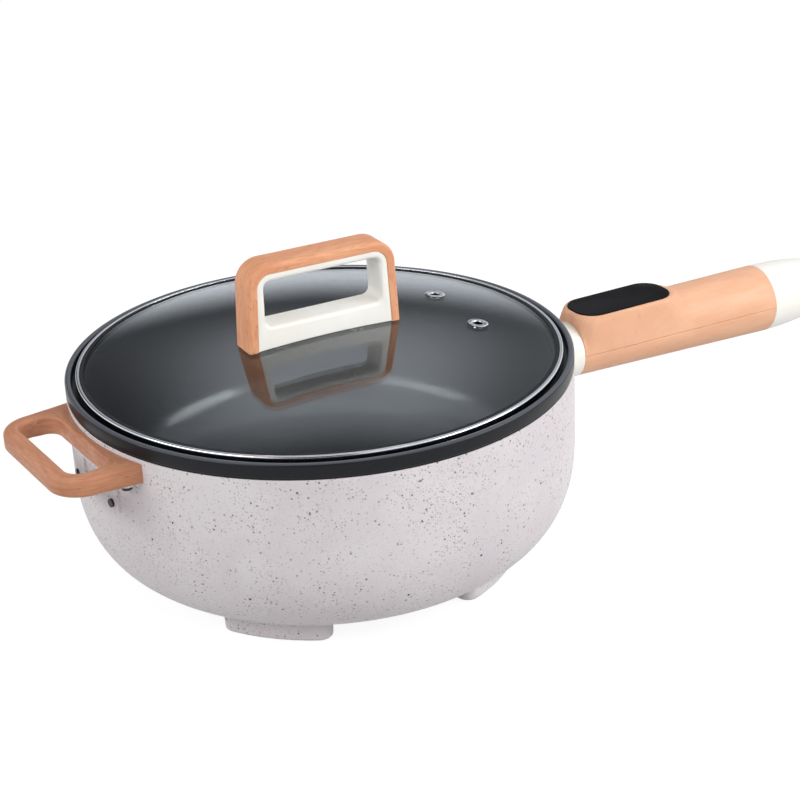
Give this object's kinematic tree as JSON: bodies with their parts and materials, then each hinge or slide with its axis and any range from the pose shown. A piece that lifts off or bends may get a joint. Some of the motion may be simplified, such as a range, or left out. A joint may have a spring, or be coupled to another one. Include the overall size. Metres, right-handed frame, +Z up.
{
  "type": "electric skillet",
  "caption": "Deep round electric skillet in a speckled shell with a dark rim band, long wood-look control handle, loop helper handle and lift-off domed glass lid.",
  "frame": {"origin": "on the surface the feet stand on, below the middle of the whole part's box", "axes": "+X along the long handle, away from the pot; +Z up; the pot's own axis stands 92.2 mm towards -X"},
  "size_m": [0.5518, 0.292, 0.188],
  "materials": {
    "dark_coating": "cast aluminium under a dark grey non-stick coating, satin",
    "speckled_coat": "pale warm grey with fine dark speckles, satin",
    "wood_look": "light reddish wood-grain look, satin",
    "cream_plastic": "cream moulded plastic, semi-gloss",
    "panel_gloss": "black touch panel, high gloss",
    "black_plastic": "black moulded plastic, fine texture",
    "rubber": "dark silicone rubber, matt",
    "polished_steel": "polished stainless steel",
    "steel": "plain stainless and plated steel",
    "aluminium": "cast aluminium, plain",
    "lid_glass": "clear tempered glass, faint grey tint",
    "fuse_body": "pale ceramic body",
    "circuit_board": "green solder mask",
    "contact_brass": "plain brass",
    "wire_sleeve": "red silicone sleeve"
  },
  "bodies": {
    "cooker": {"inner_pot": "dark_coating", "outer_shell": "speckled_coat", "feet": "speckled_coat", "helper_bracket": "speckled_coat", "grip_upper": "wood_look", "grip_lower": "wood_look", "helper_handle": "wood_look", "handle_collar": "cream_plastic", "end_cap": "cream_plastic", "control_panel": "panel_gloss", "inlet_socket": "black_plastic", "display_module": "black_plastic", "sensor_guide": "black_plastic", "base_cover": "black_plastic", "rim_gasket": "rubber", "foot_pads": "rubber", "heating_element": "steel", "element_terminals": "steel", "heat_shield": "steel", "pot_studs": "steel", "stud_spacers": "steel", "stud_nuts": "steel", "sensor_spring": "steel", "cover_screws": "steel", "foot_screws": "steel", "handle_bracket": "steel", "bracket_rivets": "steel", "grip_screws": "steel", "board_screws": "steel", "helper_rivets": "steel", "helper_screws": "steel", "heat_plate": "aluminium", "sensor_cap": "aluminium", "thermal_fuse": "fuse_body", "control_board": "circuit_board", "inlet_contacts": "contact_brass", "power_wires": "wire_sleeve"},
    "lid": {"lid_glass": "lid_glass", "lid_ring": "polished_steel", "lid_seal": "rubber", "vent_grommets": "polished_steel", "handle_core": "cream_plastic", "handle_strap": "wood_look", "lid_screws": "steel", "lid_washers": "rubber"}
  },
  "joints": [
    {"name": "lid_lift", "type": "slide", "parent": "cooker", "child": "lid", "axis": [0, 0, 1], "range_m": [0, 0.12]}
  ]
}
